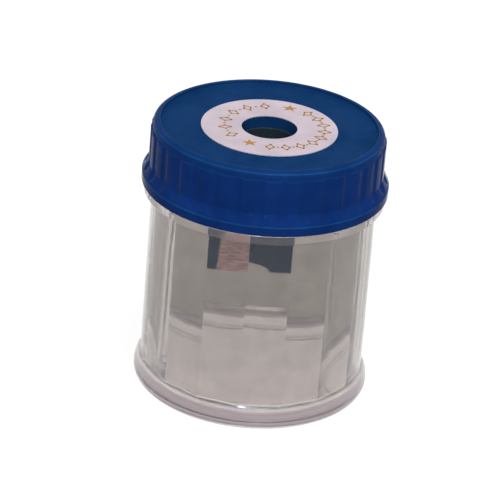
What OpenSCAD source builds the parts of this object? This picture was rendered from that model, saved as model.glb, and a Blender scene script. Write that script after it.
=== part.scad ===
// Canister pencil sharpener: a clear tub that catches the shavings, and a cap with a
// fluted grip band, whose underside holds a wedge-shaped hand sharpener. The pencil
// goes in through the hole in the middle of the cap.
// Units are millimetres. Origin: centre of the tub's foot, +Z up. The blade faces -Y.

/* [Tub] */
// Outer radius of the tub's wall
wall_r = 21; // [19:0.1:24]
// Height of the collar on which the cap's edge rests
collar_top = 41.2; // [36:0.1:50]
// Thickness of the wall at the corners between the facets inside the tub
wall_t = 1.4; // [1:0.1:2.4]
// Number of flat facets inside the tub
facets = 16; // [13:1:24]
// Height of the floor's upper face
floor_top = 4.4; // [3:0.1:5.4]
// Depth of the shallow hollow under the floor
recess_depth = 0.3; // [0.2:0.1:1.8]
// Height of the bevelled corner between floor and wall
floor_bevel = 0.4; // [0.2:0.1:2]

/* [Foot] */
// How far the rounded foot stands out from the wall
foot_out = 1.1; // [0.5:0.1:3]
// Height of the foot
foot_h = 6.2; // [5:0.1:8]
// Radius of the foot's lower edge
foot_edge = 3; // [1.5:0.1:3.5]
// Width of the flat ring on which the tub stands
stand_w = 1.8; // [1:0.1:4]

/* [Collar and neck] */
// How far the collar stands out from the wall
collar_out = 1.5; // [0.8:0.1:1.9]
// Height of the collar
collar_h = 1.9; // [1:0.1:4]
// Radius of the collar's lower edge
collar_round = 0.5; // [0.2:0.1:0.7]
// Thickness of the neck at the corners between the facets
neck_t = 0.8; // [0.5:0.05:0.9]
// Height of the neck above the collar
neck_h = 9.6; // [6:0.1:9.7]

/* [Cap] */
// Thickness of the cap's wall between the ribs
cap_wall_t = 0.8; // [0.7:0.05:1.5]
// How far the flange stands out from the ribs
flange_out = 1.1; // [0.5:0.1:3]
// Height of the flange's straight edge
flange_edge = 1.9; // [1:0.1:3]
// Height of the slope from the flange up to the ribs
flange_slope = 2.1; // [1:0.1:3]
// Height of the cap from its lower edge to the top of its rim
cap_h = 12.2; // [12:0.1:16]
// Radial clearance between the cap and the neck
neck_gap = 0.35; // [0.2:0.05:0.6]
// Clearance under the cap's lower edge
seat_gap = 0.1; // [0.05:0.05:0.3]
// Depth of the recessed disc below the rim
disc_depth = 0.8; // [0.3:0.1:1.2]
// Thickness of the recessed disc
disc_t = 1.6; // [1:0.1:1.6]
// Width of the rim around the recessed disc
rim_w = 1.3; // [1.3:0.1:4]
// Radius of the rim's rounded outer edge
rim_round = 1.1; // [0.5:0.1:1.2]

/* [Ribs] */
// Number of grip ribs around the cap, with a flute between each two
ribs = 32; // [16:1:36]
// How far the ribs stand out from the cap's wall
rib_out = 0.35; // [0.3:0.05:0.5]
// Height of the ribs' upper ends above the cap's lower edge
rib_top = 10.45; // [8:0.05:10.8]
// Radius of the ribs' upper edge
rib_edge = 0.25; // [0.1:0.01:0.29]
// Depth of the flutes
flute_in = 0.27; // [0.17:0.02:0.33]
// Radius of a flute and of its rounded lower end
flute_r = 2.2; // [1.4:0.1:2.6]
// Height above the cap's lower edge at which a flute's lower end begins
flute_low = 4.2; // [3.6:0.1:6]
// Turn of the ribs about the cap's axis, in degrees
rib_turn = -2.6; // [-6:0.1:6]

/* [Pencil hole and label] */
// Radius of the pencil hole in the cap
hole_r = 5.2; // [4.6:0.05:5.6]
// Wall thickness of the tube below the pencil hole
tube_wall = 1.5; // [1:0.1:2]
// Outer radius of the ring label
label_r = 12.7; // [9:0.1:18]
// Thickness of the label
label_t = 0.15; // [0.05:0.01:0.3]
// Distance from the hole's edge to the label
label_gap = 0; // [0:0.05:1]

/* [Sharpener block] */
// Width of the block
block_w = 15.6; // [14:0.1:17]
// Length of the block along the pencil
block_len = 24.7; // [24:0.1:27]
// Distance from the pencil's axis to the block's back
block_back = 5.4; // [5:0.1:6.5]
// Depth of the block's top face below the cap's disc
block_depth = 3.95; // [3:0.05:6]
// Radius of the pencil guide
guide_r = 4.05; // [3.8:0.01:4.3]
// Length of the pencil guide
guide_len = 3.5; // [2:0.1:5]
// Half angle of the conical bore, in degrees
cone_half = 11.5; // [11.5:0.1:13]
// Width of the throat beside the blade, as a share of the cone's radius
throat_open = 0.8; // [0.5:0.05:0.9]
// How far the throat goes in under the blade's edge, as a share of the cone's radius
throat_under = 0.3; // [0.1:0.05:0.4]
// Height of the closed ring between the throat and the pencil guide
throat_step = 1; // [0.5:0.1:3]
// Radius of the arch cut in the block's narrow end
arch_r = 2.2; // [1.5:0.1:2.6]
// How far the finger grips are hollowed into the block's sides
grip_in = 1; // [0.4:0.1:1.4]
// Height of the finger grips
grip_len = 12; // [8:0.1:14]
// Number of grooves in each finger grip
grooves = 7; // [3:1:9]
// Radius of a groove
groove_r = 0.35; // [0.2:0.05:0.45]
// Share of a finger grip's height over which its grooves are spread
groove_span = 0.8; // [0.5:0.05:0.9]

/* [Blade and screw] */
// Thickness of the blade
blade_t = 0.9; // [0.6:0.05:1.2]
// Distance from the pencil's axis to the blade's back edge
blade_back = 6.5; // [6:0.1:6.8]
// Distance from the pencil's axis to the blade's cutting edge
blade_edge = 0.2; // [0.1:0.05:0.5]
// Length of the blade
blade_len = 22.6; // [20:0.1:23]
// Distance from the block's narrow end to the blade
blade_inset = 0.1; // [0:0.1:0.5]
// Clearance around the blade in its seat
blade_play = 0.05; // [0.02:0.01:0.1]
// Width of the blade's ground bevel
bevel_w = 1.7; // [1:0.1:2.5]
// Radius of the screw's shank
shank_r = 1.2; // [0.9:0.05:1.4]
// Radius of the screw's head
head_r = 2; // [1.6:0.1:2.2]
// Height of the screw's head
head_h = 0.8; // [0.5:0.1:1.2]
// Length of the screw's shank below the blade
shank_len = 3.4; // [2.5:0.1:3.8]
// Radial clearance around the screw's shank
screw_play = 0.1; // [0.05:0.01:0.2]
// Width of the slot in the screw's head
drive_slot = 0.6; // [0.4:0.1:1]

/* [Block holder] */
// Wall thickness of the holder that grips the block
holder_wall = 1.2; // [0.8:0.1:1.8]
// Clearance between the holder and the block
holder_gap = 0.05; // [0.02:0.01:0.15]
// How far the holder reaches down the block
holder_grip = 8.5; // [5:0.1:11]

/* [Hidden] */
$fn = 96;
// Small overlap that joins two solids, and how far a cutter reaches past the face that it opens
e = 0.01;
margin = 1;

// Tub
facet_r = wall_r - wall_t;
neck_r = facet_r + neck_t;
bevel_steps = 3;
foot_r = wall_r + foot_out;
foot_round = (pow(foot_h - foot_edge, 2) + pow(foot_out, 2)) / (2 * foot_out);
recess_r = foot_r - foot_edge - stand_w;
collar_r = wall_r + collar_out;
collar_low = collar_top - collar_h;
rim_top = collar_top + neck_h;

// Cap
cap_low = collar_top + seat_gap;
cap_top = cap_low + cap_h;
disc_top = cap_top - disc_depth;
disc_low = disc_top - disc_t;
cap_in_r = neck_r + neck_gap;
cap_wall_r = cap_in_r + cap_wall_t;
rib_r = cap_wall_r + rib_out;
flange_r = rib_r + flange_out;
rim_in_r = cap_wall_r - rim_w;
shoulder_low = cap_low + flange_edge;
shoulder_top = shoulder_low + flange_slope;
rib_top_z = cap_low + rib_top;
flute_mid_r = rib_r - flute_in + flute_r;
flute_low_z = cap_low + flute_low;

// Sharpener block and what it holds
block_top = disc_top - block_depth;
block_low = block_top - block_len;
block_rough = 3 * block_back;
tube_low = block_top + holder_gap;
cone_top = block_top - guide_len;
apex_z = cone_top - guide_r / tan(cone_half);
grip_z = block_low + block_len / 2;
grip_round = (pow(grip_len / 2, 2) + pow(grip_in, 2)) / (2 * grip_in);
blade_low = (block_low - apex_z) / cos(cone_half) + blade_inset;
screw_z = blade_low + blade_len / 2;
screw_x = -(blade_back + blade_edge + bevel_w) / 2;
seat_run = 5;
throat_top = cone_top - throat_step;
throat_r = (throat_top - apex_z) * tan(cone_half);

function facet_points(r) =
    [for (i = [0 : facets - 1]) r * [cos(360 * (i + 0.5) / facets - 90), sin(360 * (i + 0.5) / facets - 90)]];

// Prism with the tub's facets, r being its corner radius
module facet_prism(r, low, high) {
    translate([0, 0, low]) linear_extrude(high - low) polygon(facet_points(r));
}

// Half of a disc's section with a rounded edge, standing on the X axis with that edge below
module round_low(r, h, edge) {
    translate([0, edge]) square([r, h - edge]);
    square([r - edge, edge]);
    intersection() {
        translate([r - edge, edge]) circle(edge);
        square([r, edge]);
    }
}

// The same with the rounded edge above
module round_high(r, h, edge) {
    translate([0, h]) mirror([0, 1]) round_low(r, h, edge);
}

// Rounded band around the tub's base
module foot_profile() {
    intersection() {
        round_low(foot_r, foot_h, foot_edge);
        union() {
            square([foot_r, foot_edge]);
            translate([foot_r - foot_round, foot_edge]) circle(foot_round);
        }
    }
}

// Wall, collar and neck
module wall_profile() {
    square([wall_r, collar_top]);
    translate([0, collar_low]) round_low(collar_r, collar_h, collar_round);
    square([neck_r, rim_top]);
}

// Thin slice of the space for the shavings, at an angle around the rounded corner of its floor
module corner_slice(angle) {
    low = floor_top + floor_bevel * (1 - cos(angle));
    facet_prism(facet_r - floor_bevel * (1 - sin(angle)), low, low + e);
}

// Space for the shavings, with a bevelled corner all round its floor
module tub_space() {
    facet_prism(facet_r, floor_top + floor_bevel, rim_top + margin);
    for (i = [0 : bevel_steps - 1]) hull() {
        corner_slice(90 * i / bevel_steps);
        corner_slice(90 * (i + 1) / bevel_steps);
    }
}

module tub() {
    color([0.78, 0.75, 0.74, 0.5]) difference() {
        rotate_extrude() {
            foot_profile();
            wall_profile();
        }
        tub_space();
        translate([0, 0, -margin]) cylinder(r = recess_r, h = margin + recess_depth);
    }
}

// Flange, ribbed band, wall and rounded rim of the cap
module cap_profile() {
    translate([0, cap_low]) square([flange_r, flange_edge]);
    polygon([[0, shoulder_low], [flange_r, shoulder_low], [rib_r, shoulder_top], [0, shoulder_top]]);
    translate([0, shoulder_top]) round_high(rib_r, rib_top_z - shoulder_top, rib_edge);
    translate([0, shoulder_top]) round_high(cap_wall_r, cap_top - shoulder_top, rim_round);
}

// Cutter of one flute, with a round lower end
module flute() {
    cylinder(r = flute_r, h = rib_top_z + margin - flute_low_z);
    sphere(flute_r);
}

// Channel of three walls that grips the block's sides and back
module holder() {
    inner_w = block_w + 2 * holder_gap;
    outer_w = inner_w + 2 * holder_wall;
    back = block_back + holder_gap;
    low = block_top - holder_grip;
    difference() {
        translate([-outer_w / 2, -guide_r, low]) cube([outer_w, guide_r + back + holder_wall, disc_low + e - low]);
        translate([-inner_w / 2, -guide_r - margin, low - margin])
            cube([inner_w, guide_r + margin + back, disc_low + margin - low]);
    }
}

module lid() {
    color([0.08, 0.2, 0.44]) difference() {
        union() {
            difference() {
                rotate_extrude() cap_profile();
                for (i = [0 : ribs - 1])
                    rotate(rib_turn + 360 * (i + 0.5) / ribs) translate([flute_mid_r, 0, flute_low_z]) flute();
                translate([0, 0, cap_low - margin]) cylinder(r = cap_in_r, h = disc_low - cap_low + margin);
                translate([0, 0, disc_top]) cylinder(r = rim_in_r, h = disc_depth + margin);
            }
            translate([0, 0, tube_low]) cylinder(r = hole_r + tube_wall, h = disc_low + e - tube_low);
            holder();
        }
        translate([0, 0, block_top - margin]) cylinder(r = hole_r, h = block_depth + 2 * margin);
    }
}

module label() {
    color([0.84, 0.78, 0.82]) translate([0, 0, disc_top]) difference() {
        cylinder(r = label_r, h = label_t);
        translate([0, 0, -margin]) cylinder(r = hole_r + label_gap, h = label_t + 2 * margin);
    }
}

// Frame on the blade's seat: Z up along the cone's side, -Y out of the block, origin at the cone's tip
module on_seat() {
    translate([0, 0, apex_z]) rotate([cone_half, 0, 0]) children();
}

// Frame of a cutter that runs through the block from behind its back to before its front
module across_block() {
    translate([0, block_back + margin, 0]) rotate([90, 0, 0]) children();
}

// Hollow finger grip on the +X side, with its grooves
module finger_grip() {
    mid_x = block_w / 2 - grip_in + grip_round;
    translate([mid_x, 0, grip_z]) across_block() cylinder(r = grip_round, h = block_rough + 2 * margin);
    for (i = [0 : grooves - 1]) {
        z = (i / (grooves - 1) - 0.5) * groove_span * grip_len;
        x = mid_x - sqrt(pow(grip_round, 2) - pow(z, 2));
        translate([x, 0, grip_z + z]) across_block() cylinder(r = groove_r, h = block_rough + 2 * margin);
    }
}

module sharpener_body() {
    color([0.27, 0.3, 0.32]) difference() {
        translate([-block_w / 2, block_back - block_rough, block_low]) cube([block_w, block_rough, block_len]);
        // sloping face that carries the blade
        on_seat() translate([-block_w, -block_w - blade_t, -block_len]) cube([2 * block_w, block_w, 3 * block_len]);
        // seat of the blade
        on_seat() translate([-blade_back - blade_play, -2 * blade_t, blade_low - seat_run])
            cube([blade_back - blade_edge + 2 * blade_play, 2 * blade_t, seat_run + blade_len + blade_play]);
        // pencil guide, cone and opening at the narrow end
        translate([0, 0, cone_top]) cylinder(r = guide_r, h = guide_len + margin);
        translate([0, 0, apex_z]) cylinder(r1 = 0, r2 = guide_r, h = cone_top - apex_z);
        translate([0, 0, block_low]) across_block() cylinder(r = arch_r, h = block_rough + 2 * margin);
        // throat through which the shavings leave
        rotate([90, 0, 0]) linear_extrude(block_rough)
            polygon([[0, apex_z], [throat_open * throat_r, throat_top], [-throat_under * throat_r, throat_top]]);
        // screw hole
        on_seat() translate([screw_x, -margin, screw_z]) rotate([-90, 0, 0])
            cylinder(r = shank_r + screw_play, h = block_rough + margin);
        finger_grip();
        mirror([1, 0, 0]) finger_grip();
    }
}

module blade() {
    color([0.62, 0.52, 0.5]) on_seat() difference() {
        translate([0, 0, blade_low]) linear_extrude(blade_len)
            polygon([[-blade_back, 0], [-blade_edge, 0], [-blade_edge - bevel_w, -blade_t], [-blade_back, -blade_t]]);
        translate([screw_x, margin, screw_z]) rotate([90, 0, 0])
            cylinder(r = shank_r + screw_play, h = blade_t + 2 * margin);
    }
}

module blade_screw() {
    color([0.7, 0.7, 0.7]) on_seat() translate([screw_x, 0, screw_z]) rotate([90, 0, 0]) difference() {
        union() {
            translate([0, 0, -shank_len]) cylinder(r = shank_r, h = shank_len + blade_t + e);
            translate([0, 0, blade_t]) cylinder(r = head_r, h = head_h);
        }
        translate([-head_r - margin, -drive_slot / 2, blade_t + head_h / 2])
            cube([2 * (head_r + margin), drive_slot, head_h]);
    }
}

tub();
lid();
label();
sharpener_body();
blade();
blade_screw();
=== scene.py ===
# Canister pencil sharpener: fine meshes, finishes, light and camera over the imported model.
# Lengths in this file are millimetres; to_scene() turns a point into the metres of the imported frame.
# Azimuths are degrees around the tub's axis: 0 is the front (-Y) and 90 the right side (+X).
import math

import bmesh
import bpy
from mathutils import Matrix, Vector


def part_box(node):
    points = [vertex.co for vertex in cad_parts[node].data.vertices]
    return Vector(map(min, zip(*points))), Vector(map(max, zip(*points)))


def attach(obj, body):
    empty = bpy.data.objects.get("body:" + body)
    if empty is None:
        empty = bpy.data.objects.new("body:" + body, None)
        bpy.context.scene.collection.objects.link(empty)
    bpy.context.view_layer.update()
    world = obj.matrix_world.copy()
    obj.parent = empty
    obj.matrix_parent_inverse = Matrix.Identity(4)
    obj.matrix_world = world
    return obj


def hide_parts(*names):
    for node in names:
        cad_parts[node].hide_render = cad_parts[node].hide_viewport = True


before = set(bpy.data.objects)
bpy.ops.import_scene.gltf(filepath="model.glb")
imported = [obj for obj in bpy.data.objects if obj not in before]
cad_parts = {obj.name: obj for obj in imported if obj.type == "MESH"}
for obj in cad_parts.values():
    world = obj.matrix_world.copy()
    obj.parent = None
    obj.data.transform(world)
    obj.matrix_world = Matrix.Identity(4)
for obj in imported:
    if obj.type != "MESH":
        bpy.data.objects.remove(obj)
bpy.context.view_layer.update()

MM = 0.001


def extent(node):
    """Lowest and highest corner of a CAD node, in millimetres."""
    low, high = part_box(node)
    return low / MM, high / MM


TUB_HIGH = extent("tub")[1]
LID_HIGH = extent("lid")[1]
LABEL_LOW, LABEL_HIGH = extent("label")
BLOCK_HIGH = extent("sharpener_body")[1]

# A ring this far before a rounding keeps the shading of the straight stretch even
HOLD = 0.01

# Tub. A ring is a height or a radius at which its shell has a row of points on a straight stretch.
COLLAR_R = TUB_HIGH.x
COLLAR_LOW = 39.3
COLLAR_TOP = 41.2
COLLAR_EDGE = 0.2  # rounding of the collar's upper edge
COLLAR_ROUND = 0.5  # rounding of its lower edge
COLLAR_FILLET = 0.3  # between the collar and the wall below it
NECK_R = 20.4
NECK_TOP = TUB_HIGH.z
SMALL_ROUND = 0.15  # of the neck's lip, the neck's fillet and the edge of the foot's recess
WALL_R = 21.0
WALL_RINGS = (30.0, 18.0)
WALL_END = 0.1  # the wall's last ring is this far above the foot
FOOT_IN = 0.4  # the collar is the widest part, and the foot is this much narrower in radius
FOOT_R = COLLAR_R - FOOT_IN
FOOT_H = 6.2
FOOT_EDGE = 3.0  # height of the foot's rounded lower edge
FOOT_TURN = 4.1  # width of that edge
FOOT_RECESS_R = 17.3
FOOT_RECESS = 0.3
FOOT_RING = 9.0
FLOOR_TOP = 4.4
FLOOR_BEVEL = 0.4
CENTRE_R = 0.3  # innermost ring of the floor and of the recess; a fan closes it
FACETS = 16
FACET_R = 19.6  # at the corners between the facets
FACET_RING = 20.0
FACET_COLUMNS = 18
TUB_CREASE = 12  # edges sharper than this many degrees stay sharp
CLEAR, MILKY, FROSTED = range(3)  # the tub's finishes

# Cap
CAP_H = 12.2
CAP_TOP = LID_HIGH.z
CAP_LOW = CAP_TOP - CAP_H
CAP_WALL_R = 21.55
CAP_IN_R = 20.75
CAP_IN_ROUND = 0.2
CAP_IN_RING = 46.0
CAP_CREASE = 35
FLANGE_R = LID_HIGH.x
FLANGE_EDGE = 1.9  # height of the flange's upright side
FLANGE_SLOPE = 2.1  # height of the slope above it
FLANGE_ROUND = 0.3
FLANGE_CORNER = ((-0.05, 0.02), (0.0, -0.08))  # the corner with a painted highlight line, out and up from where side and slope meet
FLANGE_HIGHLIGHT = 0.2  # the painted highlight reaches this far down the side
SLOPE_RINGS = 16
SLOPE_IN = 0.1  # the slope ends this far inside the flange's side
SLOPE_GAP = 0.05  # the slope's first and last ring keep this far from its top and its foot
RIM_ROUND = 1.1
RIM_IN_R = 20.25
RIM_IN_EDGE = 0.1
RIM_IN_HIGHLIGHT = 0.25  # width of the painted highlight along the rim's inner edge
RIM_LINE_TOP, RIM_LINE_LOW = 42, 28  # angles on the rim's rounding between which a highlight line is painted
RIM_LINE_STEP = 6  # angle between two rings there
DISC_TOP = LABEL_LOW.z
DISC_T = 1.6
DISC_LOW = DISC_TOP - DISC_T
DISC_RINGS = (9.0, 13.0, 17.0)
DISC_FILLET = 0.3
UNDERSIDE_RING = 14.0
HOLE_R = 5.2
HOLE_ROUND = 0.2
LEDGE = 0.15  # the hole is this much narrower below its ledge
LEDGE_TOP = 50.45
LEDGE_END = 0.02  # the painted shade goes this far above the ledge
TUBE_R = 6.7
TUBE_GAP = 0.05  # between the tube and the sharpener block below it
TUBE_LOW = BLOCK_HIGH.z + TUBE_GAP
GLOSS, MATTE, SATIN, PAINTED_SHADE, PAINTED_HIGHLIGHT = range(5)  # the cap's finishes; the fourth is a painted shade in the hole, the fifth paints highlight lines on edges

# Ribs and flutes round the cap
RIBS = 32
RIB_COLUMNS = 18
RIB_R = 21.9
RIB_H = 10.45  # the ribs end at this height above the cap's lower edge
RIB_TOP = CAP_LOW + RIB_H
RIB_EDGE = 0.25
RIB_FILLET = 0.1  # between the ribs' upper side and the rim
RIB_RINGS = 26
RIB_CROWDING = 1.6  # power that draws the rings down to where the flutes end
RIB_LAST = 0.1  # the rings stay above this depth under the slope's top
FLUTE_R = 2.2  # of the groove's section and of its round lower end
FLUTE_IN = 0.27  # depth of a flute
FLUTE_MID_R = RIB_R - FLUTE_IN + FLUTE_R
FLUTE_START = 4.2  # a flute's rounded lower end begins at this height above the cap's lower edge
FLUTE_LOW = CAP_LOW + FLUTE_START
FLUTE_AZIMUTH = 3.025
FLUTE_BLEND = 0.08  # rounding of a flute's edges

# Holder of the sharpener block, under the cap's disc
HOLDER_WALL = 1.2
HOLDER_GAP = 0.05
HOLDER_GRIP = 8.5  # the holder reaches this far down the block
HOLDER_LOW = BLOCK_HIGH.z - HOLDER_GRIP
HOLDER_FRONT = -4.05
HOLDER_EDGE = 0.2
HOLDER_EDGE_STEPS = 3

# Print on the label: two stars, and between them a generic ornament of small gold lozenges and dots
PRINT_T = 0.02
PRINT_R = 9.3
PRINT_SHIFT = (1.0, 0.35)  # the print is a little off the label's centre
STAR_POINTS = 5
STAR_R = 1.5
STAR_IN_R = 0.62
STAR_AZIMUTHS = (158.0, -34.0)
STAR_TURNS = (10.0, 0.0)
SIGN_ARCS = ((-62.6, -173.1, 6), (-9.8, 134.1, 9))  # first azimuth, last azimuth, signs
SIGN_H = 2.2
SIGN_W = 1.5
STROKE = 0.3
DOT_R = 0.26
DOT_CORNERS = 14


def to_scene(x, y, z):
    return Vector((x, y, z)) * MM


def around(azimuth, radius, z):
    """Point at an azimuth, a radius and a height."""
    angle = math.radians(azimuth)
    return to_scene(radius * math.sin(angle), -radius * math.cos(angle), z)


def oval(mid_r, mid_z, wide, high, start, end, steps=10):
    """Points of an outline on an oval arc, with its angles measured from +radius towards +Z."""
    points = []
    for step in range(steps + 1):
        angle = math.radians(start + (end - start) * step / steps)
        points.append((mid_r + wide * math.cos(angle), mid_z + high * math.sin(angle)))
    return points


def arc(mid_r, mid_z, radius, start, end, steps=10):
    """Points of an outline on a round arc."""
    return oval(mid_r, mid_z, radius, radius, start, end, steps)


# Meshes


def face_outwards(mesh):
    shell = bmesh.new()
    shell.from_mesh(mesh)
    bmesh.ops.recalc_face_normals(shell, faces=shell.faces)
    shell.to_mesh(mesh)
    shell.free()


def new_piece(name, points, faces, materials, body):
    """Piece of the visual model that rides on a body, with its faces turned outwards."""
    mesh = bpy.data.meshes.new(name)
    mesh.from_pydata(points, [], faces)
    for material in materials:
        mesh.materials.append(material)
    face_outwards(mesh)
    piece = bpy.data.objects.new(name, mesh)
    bpy.context.scene.collection.objects.link(piece)
    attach(piece, body)
    return piece


def new_shell(name, shell, materials, body, crease):
    """Piece from a shell's points, faces and finishes. Edges sharper than crease degrees stay sharp."""
    points, faces, finish = shell
    piece = new_piece(name, points, faces, materials, body)
    piece.data.polygons.foreach_set("material_index", finish)
    piece.data.shade_smooth()
    piece.data.set_sharp_from_angle(angle=math.radians(crease))
    return piece


def plain(radius, z, azimuth):
    """Form of a round stretch, the same at every azimuth."""
    return radius


def rings(points, finish, form=plain):
    """Rings of a turned outline. The finish of a ring covers the band from it to the next ring."""
    return [(radius, z, form, finish) for radius, z in points]


def lathe(outline, azimuths):
    """Points, faces and each face's finish of an outline carried round the axis, open at both ends.
    A ring's form(radius, height, azimuth) gives its radius at an azimuth."""
    columns = len(azimuths)
    points = []
    faces = []
    finish = []
    for radius, z, form, _ in outline:
        for azimuth in azimuths:
            points.append(around(azimuth, form(radius, z, azimuth), z))
    for ring, (_, _, _, band_finish) in enumerate(outline[:-1]):
        for column in range(columns):
            here = ring * columns + column
            beside = ring * columns + (column + 1) % columns
            faces.append((here, beside, beside + columns, here + columns))
            finish.append(band_finish)
    return points, faces, finish


# Tub


def facet_azimuths():
    """Azimuths of the tub's columns, evenly spaced along each flat facet."""
    half = math.radians(180 / FACETS)
    found = []
    for facet in range(FACETS):
        for column in range(FACET_COLUMNS):
            along = 2 * column / FACET_COLUMNS - 1
            found.append(360 * facet / FACETS + math.degrees(math.atan(math.tan(half) * along)))
    return found


def faceted(radius, z, azimuth):
    """Form of a prism whose corners are at the given radius."""
    half = math.radians(180 / FACETS)
    turn = math.radians((azimuth + 180 / FACETS) % (360 / FACETS) - 180 / FACETS)
    return radius * math.cos(half) / math.cos(turn)


def inside_points():
    """From the middle of the floor to its bevel, and up the facets."""
    bevel_r = FACET_R - FLOOR_BEVEL
    points = [(CENTRE_R, FLOOR_TOP), (bevel_r / 2, FLOOR_TOP), (bevel_r, FLOOR_TOP)]
    points += arc(bevel_r, FLOOR_TOP + FLOOR_BEVEL, FLOOR_BEVEL, -90, 0)[1:]
    return points + [(FACET_R, z) for z in (FACET_RING, COLLAR_TOP, NECK_TOP - SMALL_ROUND)]


def neck_points():
    """Over the neck's lip, and down to the fillet above the collar."""
    points = arc(NECK_R - SMALL_ROUND, NECK_TOP - SMALL_ROUND, SMALL_ROUND, 90, 0, steps=4)
    points.append((NECK_R, COLLAR_TOP + SMALL_ROUND + HOLD))
    return points + arc(NECK_R + SMALL_ROUND, COLLAR_TOP + SMALL_ROUND, SMALL_ROUND, 180, 270, steps=4)


def collar_points():
    points = arc(COLLAR_R - COLLAR_EDGE, COLLAR_TOP - COLLAR_EDGE, COLLAR_EDGE, 90, 0, steps=5)
    return points + arc(COLLAR_R - COLLAR_ROUND, COLLAR_LOW + COLLAR_ROUND, COLLAR_ROUND, 0, -90)


def wall_points():
    """From the fillet under the collar down to the foot."""
    points = arc(WALL_R + COLLAR_FILLET, COLLAR_LOW - COLLAR_FILLET, COLLAR_FILLET, 90, 180, steps=6)
    return points + [(WALL_R, z) for z in (*WALL_RINGS, FOOT_H + WALL_END)]


def foot_points():
    """Down the foot's swell, and round its lower edge."""
    out = FOOT_R - WALL_R
    drop = FOOT_H - FOOT_EDGE
    swell_r = (drop ** 2 + out ** 2) / (2 * out)
    sweep = math.degrees(math.asin(drop / swell_r))
    points = arc(FOOT_R - swell_r, FOOT_EDGE, swell_r, sweep, 0)
    return points + oval(FOOT_R - FOOT_TURN, FOOT_EDGE, FOOT_TURN, FOOT_EDGE, 0, -90, steps=18)[1:]


def under_points():
    """Round the edge of the recess under the foot, and in to its middle."""
    points = arc(FOOT_RECESS_R + SMALL_ROUND, SMALL_ROUND, SMALL_ROUND, -90, -180, steps=4)
    return points + [(radius, FOOT_RECESS) for radius in (FOOT_RECESS_R, FOOT_RING, CENTRE_R)]


def tub_outline():
    """From the middle of the floor over the neck and round the foot to the middle of the recess."""
    return (
        rings(inside_points(), CLEAR, faceted)
        + rings(neck_points(), CLEAR)
        + rings(collar_points(), MILKY)
        + rings(wall_points(), CLEAR)
        + rings(foot_points(), FROSTED)
        + rings(under_points(), CLEAR)
    )


def close_ends(shell, columns, first_z, last_z):
    """Adds a clear fan over the first ring and one over the last."""
    points, faces, finish = shell
    last = len(points) - columns
    points += [to_scene(0, 0, first_z), to_scene(0, 0, last_z)]
    for column in range(columns):
        beside = (column + 1) % columns
        faces.append((beside, column, len(points) - 2))
        faces.append((last + column, last + beside, len(points) - 1))
        finish.extend((CLEAR, CLEAR))


def make_tub(finishes):
    azimuths = facet_azimuths()
    shell = lathe(tub_outline(), azimuths)
    close_ends(shell, len(azimuths), FLOOR_TOP, FOOT_RECESS)
    piece = new_shell("tub_shell", shell, finishes, "tub", TUB_CREASE)
    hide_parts("tub")


# Cap


def smooth_low(a, b, blend):
    """The lower of two values, with the step between them rounded off."""
    near = max(blend - abs(a - b), 0) / blend
    return min(a, b) - near ** 2 * blend / 4


def fluted(radius, z, azimuth):
    """Form of the cap's side, with the flutes cut in it."""
    pitch = 360 / RIBS
    turn = math.radians((azimuth - FLUTE_AZIMUTH + pitch / 2) % pitch - pitch / 2)
    below = max(FLUTE_LOW - z, 0)
    reach = FLUTE_R ** 2 - below ** 2 - (FLUTE_MID_R * math.sin(turn)) ** 2
    if reach <= 0:
        return radius
    return smooth_low(radius, FLUTE_MID_R * math.cos(turn) - math.sqrt(reach), FLUTE_BLEND)


def bore_points():
    """Up the tube's inside and round the hole's ledge."""
    points = [(HOLE_R - LEDGE, TUBE_LOW), (HOLE_R - LEDGE, LEDGE_TOP - LEDGE - HOLD)]
    return points + arc(HOLE_R, LEDGE_TOP - LEDGE, LEDGE, 180, 90, steps=6)


def disc_points():
    """Up the hole above its ledge, round its edge and out over the disc."""
    points = [(HOLE_R, LEDGE_TOP + LEDGE_END), (HOLE_R, DISC_TOP - HOLE_ROUND - HOLD)]
    points += arc(HOLE_R + HOLE_ROUND, DISC_TOP - HOLE_ROUND, HOLE_ROUND, 180, 90, steps=5)
    points += [(radius, DISC_TOP) for radius in DISC_RINGS]
    return points + arc(RIM_IN_R - DISC_FILLET, DISC_TOP + DISC_FILLET, DISC_FILLET, -90, 0, steps=6)


def rim_arc(start, end, steps):
    """Part of the rim's outer rounding."""
    return arc(CAP_WALL_R - RIM_ROUND, CAP_TOP - RIM_ROUND, RIM_ROUND, start, end, steps)


def rim_rings():
    """Over the rim and down to the ribs, with its two painted highlight lines."""
    edge = arc(RIM_IN_R + RIM_IN_EDGE, CAP_TOP - RIM_IN_EDGE, RIM_IN_EDGE, 180, 90, steps=5)
    top = [(RIM_IN_R + RIM_IN_HIGHLIGHT, CAP_TOP)] + rim_arc(90, RIM_LINE_TOP + RIM_LINE_STEP, steps=6)
    line = rim_arc(RIM_LINE_TOP, RIM_LINE_LOW + RIM_LINE_STEP, steps=2)
    side = rim_arc(RIM_LINE_LOW, 0, steps=4)
    side += arc(CAP_WALL_R + RIB_FILLET, RIB_TOP + RIB_FILLET, RIB_FILLET, 180, 270, steps=4)
    return rings(edge, PAINTED_HIGHLIGHT) + rings(top, SATIN) + rings(line, PAINTED_HIGHLIGHT) + rings(side, SATIN)


def rib_points():
    """Round the ribs' upper edge, and down the ribs and the flange's slope."""
    points = arc(RIB_R - RIB_EDGE, RIB_TOP - RIB_EDGE, RIB_EDGE, 90, 0, steps=8)
    slope_top = CAP_LOW + FLANGE_EDGE + FLANGE_SLOPE
    low_z = slope_top - RIB_LAST
    high_z = RIB_TOP - RIB_EDGE
    for step in range(1, RIB_RINGS):
        points.append((RIB_R, low_z + (high_z - low_z) * (1 - step / RIB_RINGS) ** RIB_CROWDING))
    drop = FLANGE_SLOPE - 2 * SLOPE_GAP
    for step in range(SLOPE_RINGS + 1):
        share = step / SLOPE_RINGS
        points.append((RIB_R + (FLANGE_R - SLOPE_IN - RIB_R) * share, slope_top - SLOPE_GAP - drop * share))
    return points


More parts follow.
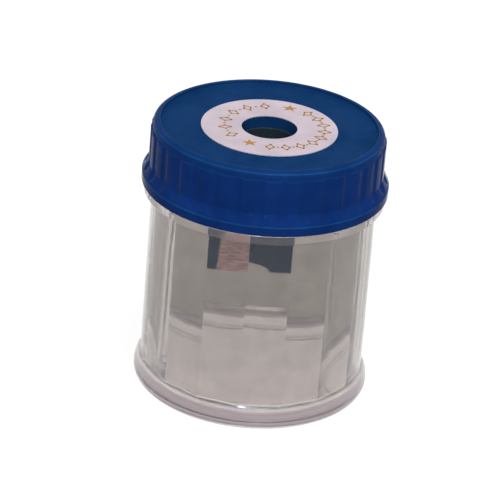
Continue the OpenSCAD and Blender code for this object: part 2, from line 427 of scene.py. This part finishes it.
def flange_points():
    """Down the flange's side below its corner with the painted highlight, and round its lower edge."""
    points = [(FLANGE_R, CAP_LOW + FLANGE_EDGE - FLANGE_HIGHLIGHT), (FLANGE_R, CAP_LOW + FLANGE_ROUND + HOLD)]
    return points + arc(FLANGE_R - FLANGE_ROUND, CAP_LOW + FLANGE_ROUND, FLANGE_ROUND, 0, -90, steps=6)


def lining_points():
    """Up the cap's inside, in along the disc's underside and down the tube's outside."""
    points = arc(CAP_IN_R + CAP_IN_ROUND, CAP_LOW + CAP_IN_ROUND, CAP_IN_ROUND, 270, 180, steps=5)
    points += [(CAP_IN_R, CAP_IN_RING), (CAP_IN_R, DISC_LOW), (UNDERSIDE_RING, DISC_LOW)]
    return points + [(TUBE_R, DISC_LOW), (TUBE_R, TUBE_LOW)]


def cap_outline():
    """From the tube's lower end through the hole, over disc and rim and up the inside to the tube again."""
    # The flange's upper corner gets a painted highlight line
    corner = [(FLANGE_R + out, CAP_LOW + FLANGE_EDGE + up) for out, up in FLANGE_CORNER]
    # The hole's wall below its ledge gets a painted shade, dark slate like the block beneath it
    return (
        rings(bore_points(), PAINTED_SHADE)
        + rings(disc_points(), MATTE)
        + rim_rings()
        + rings(rib_points(), GLOSS, fluted)
        + rings(corner, PAINTED_HIGHLIGHT)
        + rings(flange_points() + lining_points(), GLOSS)
    )


def close_tube(shell, columns):
    """Adds the tube's lower end, between the last ring and the first."""
    points, faces, finish = shell
    last = len(points) - columns
    for column in range(columns):
        beside = (column + 1) % columns
        faces.append((last + column, last + beside, beside, column))
        finish.append(GLOSS)


def make_cap(finishes):
    columns = RIBS * RIB_COLUMNS
    pitch = 360 / RIBS
    azimuths = [FLUTE_AZIMUTH + pitch * column / RIB_COLUMNS for column in range(columns)]
    shell = lathe(cap_outline(), azimuths)
    close_tube(shell, columns)
    cap = new_shell("cap_shell", shell, finishes, "lid", CAP_CREASE)
    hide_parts("lid")


def make_holder(material):
    """Channel of three walls under the disc, which grips the block's sides and back."""
    in_x = BLOCK_HIGH.x + HOLDER_GAP
    out_x = in_x + HOLDER_WALL
    in_y = BLOCK_HIGH.y + HOLDER_GAP
    out_y = in_y + HOLDER_WALL
    section = [
        (-out_x, HOLDER_FRONT), (-in_x, HOLDER_FRONT), (-in_x, in_y), (in_x, in_y),
        (in_x, HOLDER_FRONT), (out_x, HOLDER_FRONT), (out_x, out_y), (-out_x, out_y),
    ]
    count = len(section)
    points = [to_scene(x, y, z) for z in (HOLDER_LOW, DISC_LOW) for x, y in section]
    faces = [(n, (n + 1) % count, (n + 1) % count + count, n + count) for n in range(count)]
    for base in (0, count):  # each end is three quads, over the two side walls and the back one
        faces += [(base, base + 1, base + 2, base + 7), (base + 2, base + 3, base + 6, base + 7)]
        faces += [(base + 3, base + 4, base + 5, base + 6)]
    piece = new_piece("block_holder", points, faces, [material], "lid")
    bevel = piece.modifiers.new("edges", "BEVEL")
    bevel.width = HOLDER_EDGE * MM
    bevel.segments = HOLDER_EDGE_STEPS


# Print


def prism(points, faces, outline):
    """Adds a flat prism on the label, with a closed outline, to a list of points and faces."""
    base = len(points)
    count = len(outline)
    for z in (LABEL_HIGH.z, LABEL_HIGH.z + PRINT_T):
        points += [to_scene(x, y, z) for x, y in outline]
    faces += [tuple(range(base + count, base + 2 * count)), tuple(range(base + count - 1, base - 1, -1))]
    for n in range(count):
        beside = (n + 1) % count
        faces.append((base + n, base + beside, base + beside + count, base + n + count))


def on_label(azimuth, across, out):
    """Point of the print: across runs along the ring and out away from its centre."""
    angle = math.radians(azimuth)
    radius = PRINT_R + out
    x = PRINT_SHIFT[0] + radius * math.sin(angle) + across * math.cos(angle)
    y = PRINT_SHIFT[1] - radius * math.cos(angle) + across * math.sin(angle)
    return x, y


def star_outline(azimuth, turn):
    mid_x, mid_y = on_label(azimuth, 0, 0)
    corners = []
    for n in range(2 * STAR_POINTS):
        radius = STAR_IN_R if n % 2 else STAR_R
        angle = math.radians(turn + 180 / STAR_POINTS * n)
        corners.append((mid_x + radius * math.sin(angle), mid_y + radius * math.cos(angle)))
    return corners


def stroke_outline(azimuth, start, end):
    """Thin bar between two points of a sign, each given as across and out."""
    along = Vector((end[0] - start[0], end[1] - start[1])).normalized() * STROKE / 2
    side = Vector((-along.y, along.x))
    corners = []
    for point, way in ((start, -1), (end, 1)):
        tip = Vector(point) + along * way
        corners += [tip + side * way, tip - side * way]
    return [on_label(azimuth, corner.x, corner.y) for corner in corners]


def lozenge_strokes():
    """Start and end of the four bars of a lozenge."""
    w = SIGN_W / 2
    h = SIGN_H / 2
    corners = [(-w, 0), (0, h), (w, 0), (0, -h)]
    return [(corner, corners[(n + 1) % len(corners)]) for n, corner in enumerate(corners)]


def dot_outline(azimuth):
    mid_x, mid_y = on_label(azimuth, 0, 0)
    steps = [math.radians(360 * n / DOT_CORNERS) for n in range(DOT_CORNERS)]
    return [(mid_x + DOT_R * math.cos(step), mid_y + DOT_R * math.sin(step)) for step in steps]


def make_print(material):
    """Two stars, and lozenges along two arcs with a dot between each two."""
    points = []
    faces = []
    for azimuth, turn in zip(STAR_AZIMUTHS, STAR_TURNS):
        prism(points, faces, star_outline(azimuth, turn))
    for first, last, count in SIGN_ARCS:
        for n in range(count):
            azimuth = first + (last - first) * n / (count - 1)
            for start, end in lozenge_strokes():
                prism(points, faces, stroke_outline(azimuth, start, end))
            if n:
                between = azimuth - (last - first) / (count - 1) / 2
                prism(points, faces, dot_outline(between))
    piece = new_piece("label_print", points, faces, [material], "lid")


# Materials. Each varies between two colours.

GLOSS_BLUES = ((0.004, 0.026, 0.14), (0.006, 0.033, 0.175))
MATTE_BLUES = ((0.0045, 0.034, 0.12), (0.0075, 0.043, 0.145))
SATIN_BLUES = ((0.004, 0.03, 0.14), (0.006, 0.036, 0.16))
# lighter blue that paints highlight lines on the rim's edges and the flange's corner
PAINTED_HIGHLIGHT_BLUES = ((0.005, 0.046, 0.16), (0.008, 0.075, 0.22))
# painted shade: dark slate on the hole's wall below its ledge
HOLE_PAINTED_SHADES = ((0.014, 0.026, 0.036), (0.022, 0.038, 0.05))
BLOCK_SLATES = ((0.005, 0.015, 0.019), (0.009, 0.021, 0.026))
PAPER_WHITES = ((0.53, 0.45, 0.51), (0.62, 0.53, 0.6))
PRINT_GOLDS = ((0.5, 0.22, 0.03), (0.42, 0.25, 0.05))
BLADE_STEELS = ((0.52, 0.33, 0.29), (0.9, 0.66, 0.62))
SCREW_STEELS = ((0.45, 0.43, 0.42), (0.6, 0.58, 0.56))
WALL_SMOKES = ((0.44, 0.41, 0.375), (0.495, 0.46, 0.42))
MILKY_SMOKES = ((0.7, 0.63, 0.64), (0.8, 0.73, 0.74))

# Specular level and tint
PLAIN_SHINE = (0.5, (1, 1, 1))
GLOSS_SHINE = (0.012, (0.4, 0.7, 1.0))
SATIN_SHINE = (0.015, (0.6, 0.8, 1.0))
DULL_SHINE = (0.004, (0.6, 0.8, 1.0))
HOLE_SHADE_SHINE = (0.2, (0.7, 0.9, 1.0))

# A noise's scale counts its cells in a metre. A grain is the scale of its noise and its depth.
TONE_SCALE = 160
SHINE_SCALE = 420
METAL_SHINE_SCALE = 700
METAL_GRAIN = (1500, 0.01)
CLEAR_TONE_SCALE = 300
CLEAR_SHINE_SCALE = 500
CLEAR_GRAIN = (900, 0.004)
NOISE_DETAIL = 3
GRAIN_DETAIL = 4
NOISE_SPAN = (0.35, 0.65)  # the values of the noise between which a finish varies

# Clear plastic, whose tint goes by height and radius
TUB_IOR = 1.59
TUB_SHINE = (0.39, 0.5, 0.73)
FLOOR_COLOUR = (1.0, 0.96, 1.0)
FOOT_COLOUR = (0.39, 0.32, 0.33)
RING_COLOUR = (0.7, 0.62, 0.57)
RING_BLEND = (15.0, 17.6)  # radii between the floor and the ring on which the tub stands
FOOT_BLEND = (19.7, 20.2)  # radii between the floor and the foot
RING_TOP_BLEND = (0.02, 0.12)  # heights between the ring and what is above it
BASE_BLEND = (1.2, 1.8)  # heights between the ring's zone and the foot's
WALL_BLEND = (4.5, 5.2)  # heights between the foot and the wall
LAMP_TINT = (0.85, 0.84, 0.83)  # of the light that a lamp sends through the tub


def new_material(name):
    material = bpy.data.materials.new(name)
    material.use_nodes = True
    nodes = material.node_tree.nodes
    return material, nodes, material.node_tree.links, nodes["Principled BSDF"]


def noise(nodes, links, scale, detail=NOISE_DETAIL):
    place = nodes.new("ShaderNodeTexCoord")
    texture = nodes.new("ShaderNodeTexNoise")
    texture.inputs["Scale"].default_value = scale
    texture.inputs["Detail"].default_value = detail
    links.new(place.outputs["Object"], texture.inputs["Vector"])
    return texture.outputs["Fac"]


def ramp(nodes, links, source, low, high, at=NOISE_SPAN):
    """A value that goes from low to high as source goes from at[0] to at[1]."""
    node = nodes.new("ShaderNodeMapRange")
    node.inputs["From Min"].default_value = at[0]
    node.inputs["From Max"].default_value = at[1]
    node.inputs["To Min"].default_value = low
    node.inputs["To Max"].default_value = high
    links.new(source, node.inputs["Value"])
    return node.outputs["Result"]


def blend_colours(nodes, links, share, first, second):
    """Goes from the first colour to the second; either may be a fixed colour or another node's output."""
    node = nodes.new("ShaderNodeMix")
    node.data_type = "RGBA"
    for socket, colour in ((node.inputs["A"], first), (node.inputs["B"], second)):
        if isinstance(colour, tuple):
            socket.default_value = (*colour, 1)
        else:
            links.new(colour, socket)
    links.new(share, node.inputs["Factor"])
    return node.outputs["Result"]


def varied_colour(nodes, links, scale, colours):
    return blend_colours(nodes, links, ramp(nodes, links, noise(nodes, links, scale), 0, 1), *colours)


def varied_roughness(nodes, links, shader, scale, roughness):
    links.new(ramp(nodes, links, noise(nodes, links, scale), *roughness), shader.inputs["Roughness"])


def bump(nodes, links, shader, texture, depth):
    node = nodes.new("ShaderNodeBump")
    node.inputs["Distance"].default_value = depth * MM
    links.new(texture, node.inputs["Height"])
    links.new(node.outputs["Normal"], shader.inputs["Normal"])


def blend_by(nodes, links, measure, span, first, second):
    """Goes from the first colour to the second as a measure in metres goes through a span of millimetres."""
    share = ramp(nodes, links, measure, 0, 1, (span[0] * MM, span[1] * MM))
    return blend_colours(nodes, links, share, first, second)


def height_above_floor(nodes, links):
    """The height in metres of the point that is shaded."""
    place = nodes.new("ShaderNodeTexCoord")
    parts = nodes.new("ShaderNodeSeparateXYZ")
    links.new(place.outputs["Object"], parts.inputs["Vector"])
    return parts.outputs["Z"]


def distance_from_axis(nodes, links):
    """The radius in metres of the point that is shaded."""
    place = nodes.new("ShaderNodeTexCoord")
    flat = nodes.new("ShaderNodeVectorMath")
    flat.operation = "MULTIPLY"
    flat.inputs[1].default_value = (1, 1, 0)
    length = nodes.new("ShaderNodeVectorMath")
    length.operation = "LENGTH"
    links.new(place.outputs["Object"], flat.inputs[0])
    links.new(flat.outputs["Vector"], length.inputs[0])
    return length.outputs["Value"]


def plastic(name, colours, roughness, grain, shine=PLAIN_SHINE):
    """Moulded plastic or paper: slight changes of tone, uneven gloss and a fine grain."""
    material, nodes, links, shader = new_material(name)
    level, tint = shine
    scale, depth = grain
    links.new(varied_colour(nodes, links, TONE_SCALE, colours), shader.inputs["Base Color"])
    varied_roughness(nodes, links, shader, SHINE_SCALE, roughness)
    shader.inputs["Specular IOR Level"].default_value = level
    shader.inputs["Specular Tint"].default_value = (*tint, 1)
    bump(nodes, links, shader, noise(nodes, links, scale, GRAIN_DETAIL), depth)
    return material


def metal(name, colours, roughness, tone_scale):
    material, nodes, links, shader = new_material(name)
    scale, depth = METAL_GRAIN
    shader.inputs["Metallic"].default_value = 1.0
    links.new(varied_colour(nodes, links, tone_scale, colours), shader.inputs["Base Color"])
    varied_roughness(nodes, links, shader, METAL_SHINE_SCALE, roughness)
    bump(nodes, links, shader, noise(nodes, links, scale), depth)
    return material


def tub_colour(nodes, links, wall):
    """Tint of the tub's surfaces: smoky wall, clear floor, darker foot and ring on which it stands."""
    z = height_above_floor(nodes, links)
    radius = distance_from_axis(nodes, links)
    ring = blend_by(nodes, links, z, RING_TOP_BLEND, RING_COLOUR, FLOOR_COLOUR)
    under = blend_by(nodes, links, radius, RING_BLEND, FLOOR_COLOUR, ring)
    foot = blend_by(nodes, links, radius, FOOT_BLEND, FLOOR_COLOUR, FOOT_COLOUR)
    base = blend_by(nodes, links, z, BASE_BLEND, under, foot)
    return blend_by(nodes, links, z, WALL_BLEND, base, wall)


def let_lamps_through(nodes, links, shader):
    """Lamps light what is inside the tub through a plain tint."""
    clear = nodes.new("ShaderNodeBsdfTransparent")
    clear.inputs["Color"].default_value = (*LAMP_TINT, 1)
    path = nodes.new("ShaderNodeLightPath")
    lamp = nodes.new("ShaderNodeMixShader")
    links.new(path.outputs["Is Shadow Ray"], lamp.inputs[0])
    links.new(shader.outputs[0], lamp.inputs[1])
    links.new(clear.outputs[0], lamp.inputs[2])
    links.new(lamp.outputs[0], nodes["Material Output"].inputs["Surface"])


def clear_plastic(name, colours, clearness, roughness):
    """Smoky clear plastic. Each surface tints the light that crosses it."""
    material, nodes, links, shader = new_material(name)
    scale, depth = CLEAR_GRAIN
    shader.inputs["IOR"].default_value = TUB_IOR
    shader.inputs["Specular Tint"].default_value = (*TUB_SHINE, 1)
    shader.inputs["Transmission Weight"].default_value = clearness
    wall = varied_colour(nodes, links, CLEAR_TONE_SCALE, colours)
    links.new(tub_colour(nodes, links, wall), shader.inputs["Base Color"])
    varied_roughness(nodes, links, shader, CLEAR_SHINE_SCALE, roughness)
    bump(nodes, links, shader, noise(nodes, links, scale, GRAIN_DETAIL), depth)
    let_lamps_through(nodes, links, shader)
    return material


def cap_finishes():
    """Materials for gloss, matte and satin blue, a painted shade for the hole and painted highlight lines."""
    return [
        plastic("blue_gloss", GLOSS_BLUES, roughness=(0.04, 0.1), grain=(900, 0.01), shine=GLOSS_SHINE),
        plastic("blue_matte", MATTE_BLUES, roughness=(0.45, 0.65), grain=(2500, 0.05), shine=DULL_SHINE),
        plastic("blue_satin", SATIN_BLUES, roughness=(0.25, 0.4), grain=(1500, 0.02), shine=SATIN_SHINE),
        # painted shade on the hole's wall below its ledge
        plastic("hole_painted_shade", HOLE_PAINTED_SHADES, roughness=(0.1, 0.2), grain=(900, 0.01), shine=HOLE_SHADE_SHINE),
        # painted highlight lines on the rim's edges and the flange's corner
        plastic("painted_highlight_edge", PAINTED_HIGHLIGHT_BLUES, roughness=(0.2, 0.4), grain=(1500, 0.02), shine=SATIN_SHINE),
    ]


def tub_finishes():
    """Materials for CLEAR, MILKY and FROSTED."""
    return [
        clear_plastic("clear_plastic", WALL_SMOKES, clearness=0.98, roughness=(0.02, 0.06)),
        clear_plastic("milky_plastic", MILKY_SMOKES, clearness=0.9, roughness=(0.1, 0.2)),
        clear_plastic("frosted_plastic", WALL_SMOKES, clearness=0.93, roughness=(0.09, 0.14)),
    ]


def dress(node, material):
    """Gives a CAD node that stays in view its material."""
    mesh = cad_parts[node].data
    mesh.materials.clear()
    mesh.materials.append(material)


def dress_nodes():
    dress("label", plastic("white_paper", PAPER_WHITES, roughness=(0.5, 0.7), grain=(3000, 0.02)))
    dress("sharpener_body", plastic("slate_plastic", BLOCK_SLATES, roughness=(0.45, 0.6), grain=(1200, 0.03)))
    dress("blade", metal("blade_steel", BLADE_STEELS, roughness=(0.3, 0.45), tone_scale=1800))
    dress("blade_screw", metal("screw_steel", SCREW_STEELS, roughness=(0.25, 0.4), tone_scale=800))


# Stage, lamps and camera

STAGE_HALF = 3000.0  # half the side of the floor
STAGE_TONE = 0.27
STAGE_ROUGHNESS = 0.9
STAGE_GLOW = 0.8
WORLD_COLOUR = (1.0, 0.98, 0.97)
WORLD_LEVEL = 0.55
GLASS_BOUNCES = 32

LAMP_DISTANCE = 700.0
LAMP_AIM = 30.0  # height on the axis
SOFT_AZIMUTH = 20.0
SOFT_ELEVATION = 65.0
SOFT_SIZE = (380.0, 380.0)
SOFT_POWER = 2.2  # watts
GLINT_AZIMUTH = -10.8
GLINT_ELEVATION = 26.0
GLINT_SIZE = (60.0, 6.0)
GLINT_POWER = 1.2  # watts

CAMERA_FOCAL = 3804.93  # focal length in pixels of the 480 x 480 frame
FRAME_WIDTH = 480
SENSOR_WIDTH = 36
CLIP_START = 10.0
CAMERA_DISTANCE = 712.96
CAMERA_ELEVATION = 25.543
CAMERA_ROLL = 4.644
CAMERA_AZIMUTH = -6.0
CAMERA_AIM = (-3.752, 0.0, 29.335)  # before the camera is turned to its azimuth


def seen_directly(nodes, links):
    """1 for a ray from the camera, a mirror reflection or a clear material, and 0 for the rest."""
    path = nodes.new("ShaderNodeLightPath")
    seen = path.outputs["Is Camera Ray"]
    for kind in ("Is Glossy Ray", "Is Transmission Ray"):
        either = nodes.new("ShaderNodeMath")
        either.operation = "MAXIMUM"
        links.new(seen, either.inputs[0])
        links.new(path.outputs[kind], either.inputs[1])
        seen = either.outputs[0]
    return seen


def stage_material():
    """Floor that takes the object's shadow, with a glow for the rays that see it directly."""
    material, nodes, links, shader = new_material("floor")
    shader.inputs["Base Color"].default_value = (STAGE_TONE, STAGE_TONE, STAGE_TONE, 1)
    shader.inputs["Roughness"].default_value = STAGE_ROUGHNESS
    glow = nodes.new("ShaderNodeEmission")
    glow.inputs["Color"].default_value = (1, 1, 1, 1)
    strength = nodes.new("ShaderNodeMath")
    strength.operation = "MULTIPLY"
    strength.inputs[1].default_value = STAGE_GLOW
    links.new(seen_directly(nodes, links), strength.inputs[0])
    links.new(strength.outputs[0], glow.inputs["Strength"])
    both = nodes.new("ShaderNodeAddShader")
    links.new(shader.outputs[0], both.inputs[0])
    links.new(glow.outputs[0], both.inputs[1])
    links.new(both.outputs[0], nodes["Material Output"].inputs["Surface"])
    return material


def make_stage():
    side = STAGE_HALF * MM
    corners = [(-side, -side, 0), (side, -side, 0), (side, side, 0), (-side, side, 0)]
    mesh = bpy.data.meshes.new("floor")
    mesh.from_pydata(corners, [], [(0, 1, 2, 3)])
    mesh.materials.append(stage_material())
    floor = bpy.data.objects.new("floor", mesh)
    bpy.context.scene.collection.objects.link(floor)


def make_world():
    world = bpy.data.worlds.new("studio")
    bpy.context.scene.world = world
    world.use_nodes = True
    nodes = world.node_tree.nodes
    links = world.node_tree.links
    light = nodes["Background"]
    light.inputs["Color"].default_value = (*WORLD_COLOUR, 1)
    light.inputs["Strength"].default_value = WORLD_LEVEL
    white = nodes.new("ShaderNodeBackground")
    white.inputs["Color"].default_value = (1, 1, 1, 1)
    blend = nodes.new("ShaderNodeMixShader")
    links.new(seen_directly(nodes, links), blend.inputs[0])
    links.new(light.outputs[0], blend.inputs[1])
    links.new(white.outputs[0], blend.inputs[2])
    links.new(blend.outputs[0], nodes["World Output"].inputs["Surface"])


def add_lamp(name, azimuth, elevation, size, power):
    """Rectangular lamp that points at the tub's axis; its size is its width and height."""
    lamp = bpy.data.lights.new(name, "AREA")
    lamp.shape = "RECTANGLE"
    lamp.size = size[0] * MM
    lamp.size_y = size[1] * MM
    lamp.energy = power
    holder = bpy.data.objects.new(name, lamp)
    level = math.radians(elevation)
    rise = LAMP_DISTANCE * math.sin(level)
    holder.location = around(azimuth, LAMP_DISTANCE * math.cos(level), rise + LAMP_AIM)
    aim = to_scene(0, 0, LAMP_AIM) - holder.location
    holder.rotation_mode = "QUATERNION"
    holder.rotation_quaternion = aim.to_track_quat("-Z", "Y")
    bpy.context.scene.collection.objects.link(holder)


def make_camera():
    """Camera that looks at its aim from its elevation, rolled about itself, then turned to its azimuth."""
    level = math.radians(CAMERA_ELEVATION)
    roll = math.radians(CAMERA_ROLL)
    back = Vector((0, -math.cos(level), math.sin(level)))
    right = Vector((1, 0, 0))
    up = back.cross(right)
    side = math.cos(roll) * right + math.sin(roll) * up
    top = math.cos(roll) * up - math.sin(roll) * right
    place = to_scene(*CAMERA_AIM) + back * CAMERA_DISTANCE * MM
    axes = Matrix((side, top, back)).transposed().to_4x4()
    data = bpy.data.cameras.new("camera")
    data.sensor_width = SENSOR_WIDTH
    data.lens = CAMERA_FOCAL / FRAME_WIDTH * data.sensor_width
    data.clip_start = CLIP_START * MM
    camera = bpy.data.objects.new("camera", data)
    turn = Matrix.Rotation(math.radians(CAMERA_AZIMUTH), 4, "Z")
    camera.matrix_world = turn @ Matrix.Translation(place) @ axes
    bpy.context.scene.collection.objects.link(camera)
    bpy.context.scene.camera = camera


def allow_bounces():
    """Light is reflected many times inside thick clear plastic, and the usual limits would turn it black."""
    cycles = bpy.context.scene.cycles
    cycles.max_bounces = GLASS_BOUNCES
    cycles.glossy_bounces = GLASS_BOUNCES
    cycles.transmission_bounces = GLASS_BOUNCES


def build():
    blues = cap_finishes()
    make_tub(tub_finishes())
    make_cap(blues)
    make_holder(blues[GLOSS])
    make_print(metal("gold_print", PRINT_GOLDS, roughness=(0.35, 0.5), tone_scale=900))
    dress_nodes()
    make_stage()
    make_world()
    add_lamp("soft", SOFT_AZIMUTH, SOFT_ELEVATION, SOFT_SIZE, SOFT_POWER)
    add_lamp("glint", GLINT_AZIMUTH, GLINT_ELEVATION, GLINT_SIZE, GLINT_POWER)
    make_camera()
    allow_bounces()
    bpy.context.scene.view_settings.view_transform = "Standard"


build()
bpy.context.view_layer.update()
